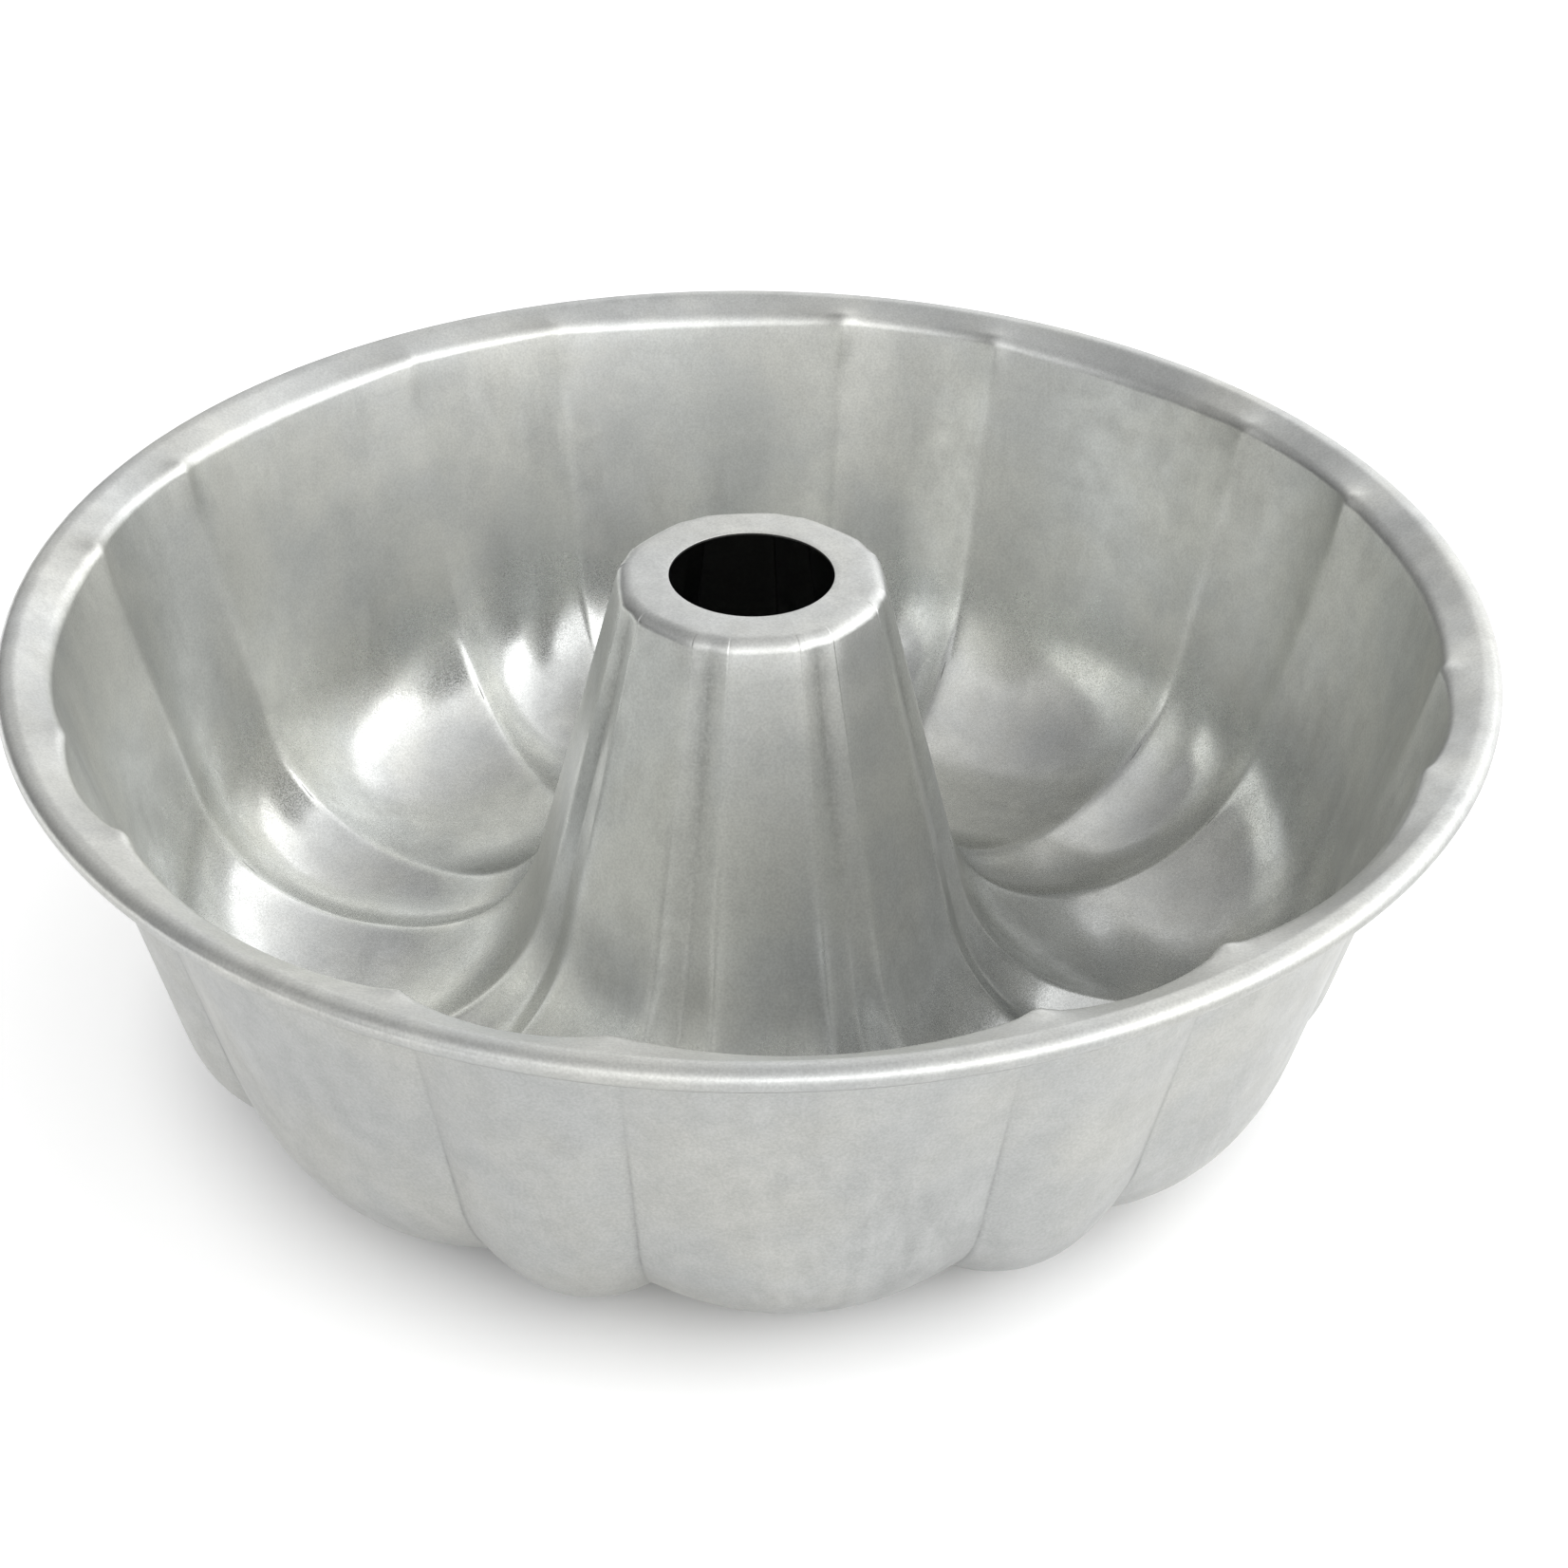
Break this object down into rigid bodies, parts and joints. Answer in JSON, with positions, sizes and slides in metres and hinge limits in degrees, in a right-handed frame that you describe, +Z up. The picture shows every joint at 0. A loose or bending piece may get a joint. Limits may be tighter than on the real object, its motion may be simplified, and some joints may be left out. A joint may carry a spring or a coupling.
{
  "type": "fluted tube cake pan",
  "caption": "Round steel cake pan with a dished flange and rolled rim, a ring-shaped fluted trough for batter, and a tapered centre tube open at its top.",
  "frame": {"origin": "on the pan's axis, level with the undersides of the flutes that it stands on", "axes": "+Z up along the centre tube, out of the mouth; +X through the middle of a wide flute, and so is every 45 degrees from it"},
  "size_m": [0.273, 0.273, 0.094],
  "materials": {
    "aluminised_steel": "satin hot-dip aluminised sheet, fine vertical draw marks",
    "wire_steel": "plain drawn wire, dull"
  },
  "bodies": {
    "root": {"fluted_shell": "aluminised_steel", "rim_wire": "wire_steel"}
  },
  "joints": []
}
